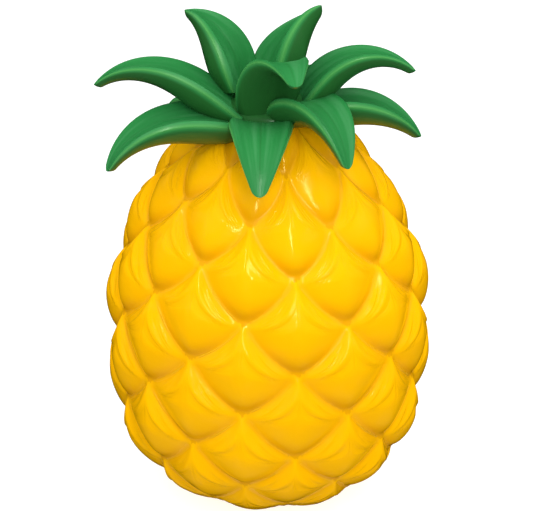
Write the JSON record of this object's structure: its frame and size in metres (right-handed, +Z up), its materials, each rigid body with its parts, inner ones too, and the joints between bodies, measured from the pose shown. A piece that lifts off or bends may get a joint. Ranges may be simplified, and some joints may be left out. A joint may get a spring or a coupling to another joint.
{
  "type": "moulded plastic pineapple",
  "caption": "Life-size imitation pineapple: a glossy yellow body covered in raised scale-like eyes, with a crown of thick curved green leaves on top.",
  "frame": {"origin": "middle of the flat foot that the pineapple stands on", "axes": "+Z up through the crown, -Y to the front, +X to the right"},
  "size_m": [0.1319, 0.1286, 0.1988],
  "materials": {
    "yellow_plastic": "glossy",
    "green_plastic": "satin"
  },
  "bodies": {
    "root": {"body": "yellow_plastic", "crown_disc": "green_plastic", "leaf_outer_front": "green_plastic", "leaf_outer_front_right": "green_plastic", "leaf_outer_right": "green_plastic", "leaf_outer_back": "green_plastic", "leaf_outer_back_left": "green_plastic", "leaf_outer_left": "green_plastic", "leaf_inner_left": "green_plastic", "leaf_inner_right": "green_plastic", "leaf_inner_front": "green_plastic", "leaf_inner_back_left": "green_plastic", "leaf_inner_back_right": "green_plastic"}
  },
  "joints": []
}
